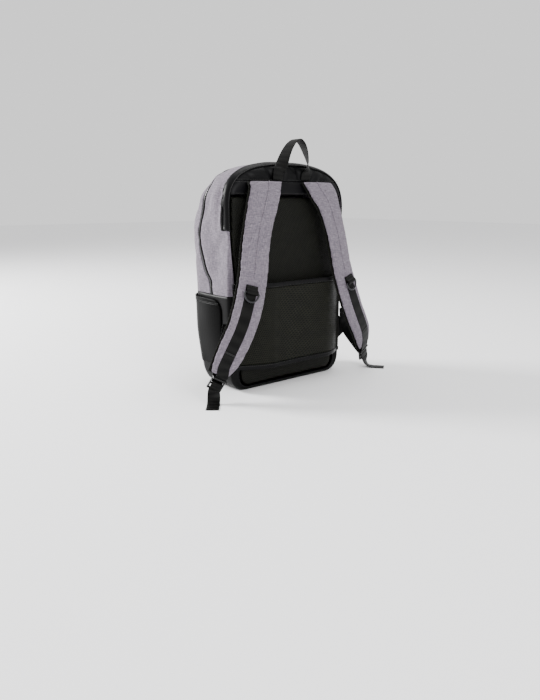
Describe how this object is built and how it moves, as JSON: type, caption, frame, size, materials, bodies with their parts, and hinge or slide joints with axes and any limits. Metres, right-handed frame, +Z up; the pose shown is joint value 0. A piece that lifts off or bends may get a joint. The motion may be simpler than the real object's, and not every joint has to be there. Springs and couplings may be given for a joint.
{
  "type": "laptop backpack",
  "caption": "Laptop backpack with a padded mesh back, a trolley sleeve, curved padded shoulder straps, stretch side pockets, a wrap-round zip and a webbing grab handle.",
  "frame": {"origin": "centre of the flat face under the base, between the back plane and the front", "axes": "+Z up from the base to the crown, -Y towards the worn side with the shoulder straps, +X to the right of a person who faces the worn side"},
  "size_m": [0.4998, 0.2257, 0.4988],
  "materials": {
    "melange_fabric": "matte grey mauve melange weave",
    "black_fabric": "matte black woven polyester with a fine rib",
    "air_mesh": "black spacer mesh with an olive glint",
    "stretch_knit": "smooth black stretch fabric",
    "black_webbing": "ribbed black webbing",
    "black_plastic": "satin black moulded plastic",
    "black_metal": "black coated wire"
  },
  "bodies": {
    "root": {"front_shell": "melange_fabric", "rear_gusset": "melange_fabric", "base_tub": "black_fabric", "main_zip_tape": "black_fabric", "main_zip_coil": "black_plastic", "zip_slider": "black_plastic", "top_band": "black_fabric", "back_pad": "air_mesh", "yoke_lower": "black_fabric", "yoke_upper": "black_fabric", "grab_handle": "black_webbing", "trolley_sleeve": "air_mesh", "sleeve_binding_bottom": "black_fabric", "sleeve_binding_top": "black_fabric", "side_pocket_left": "stretch_knit", "pocket_hem_left": "stretch_knit", "strap_pad_left": "melange_fabric", "strap_lining_left": "air_mesh", "strap_webbing_left": "black_webbing", "d_ring_tab_left": "black_webbing", "d_ring_left": "black_metal", "ladder_lock_left": "black_plastic", "anchor_tab_left": "black_fabric", "adjuster_webbing_left": "black_webbing", "side_pocket_right": "stretch_knit", "pocket_hem_right": "stretch_knit", "strap_pad_right": "melange_fabric", "strap_lining_right": "air_mesh", "strap_webbing_right": "black_webbing", "d_ring_tab_right": "black_webbing", "d_ring_right": "black_metal", "ladder_lock_right": "black_plastic", "anchor_tab_right": "black_fabric", "adjuster_webbing_right": "black_webbing"}
  },
  "joints": []
}
